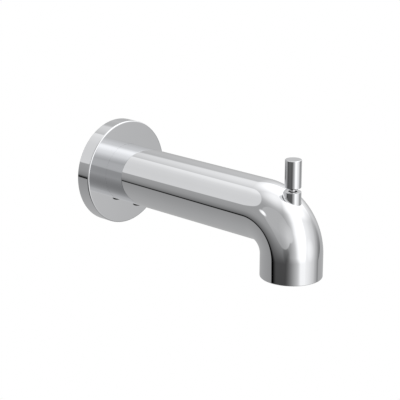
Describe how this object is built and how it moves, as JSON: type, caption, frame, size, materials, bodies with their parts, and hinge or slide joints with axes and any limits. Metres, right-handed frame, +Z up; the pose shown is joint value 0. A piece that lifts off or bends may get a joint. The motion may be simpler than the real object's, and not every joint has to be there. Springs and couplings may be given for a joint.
{
  "type": "bath spout",
  "caption": "Chromed wall-mounted bath spout: straight round tube with a plain wall flange, tight elbow and open round outlet, with a pull-up diverter knob on top.",
  "frame": {"origin": "centre of the wall plane on the inlet axis, at the back of the wall flange", "axes": "+Z up, -Y out of the wall along the spout, +X to the right seen from the front"},
  "size_m": [0.0688, 0.1715, 0.0724],
  "materials": {
    "chrome": "mirror-polished chrome plate on brass",
    "brass": "bare turned brass",
    "steel": "polished stainless steel",
    "dark_steel": "black oxide",
    "rubber": "smooth moulded",
    "foam": "closed-cell foam",
    "plastic": "moulded acetal"
  },
  "bodies": {
    "spout": {"centring_ring": "plastic", "flange_o_ring": "rubber", "gate_seat": "plastic", "guide_bush": "chrome", "inlet_adapter": "brass", "rod_o_ring": "rubber", "set_screw": "dark_steel", "spout_body": "chrome", "tube_o_ring_front": "rubber", "tube_o_ring_rear": "rubber", "wall_flange": "chrome", "wall_gasket": "foam", "waterway_o_ring_front": "rubber", "waterway_o_ring_rear": "rubber", "waterway_tube": "brass"},
    "diverter": {"diverter_knob": "chrome", "lift_rod": "steel", "rod_clip": "steel", "diverter_gate": "brass", "gate_seal": "rubber"}
  },
  "joints": [
    {"name": "diverter_pull", "type": "slide", "parent": "spout", "child": "diverter", "axis": [0, 0, 1], "range_m": [0, 0.014]}
  ]
}
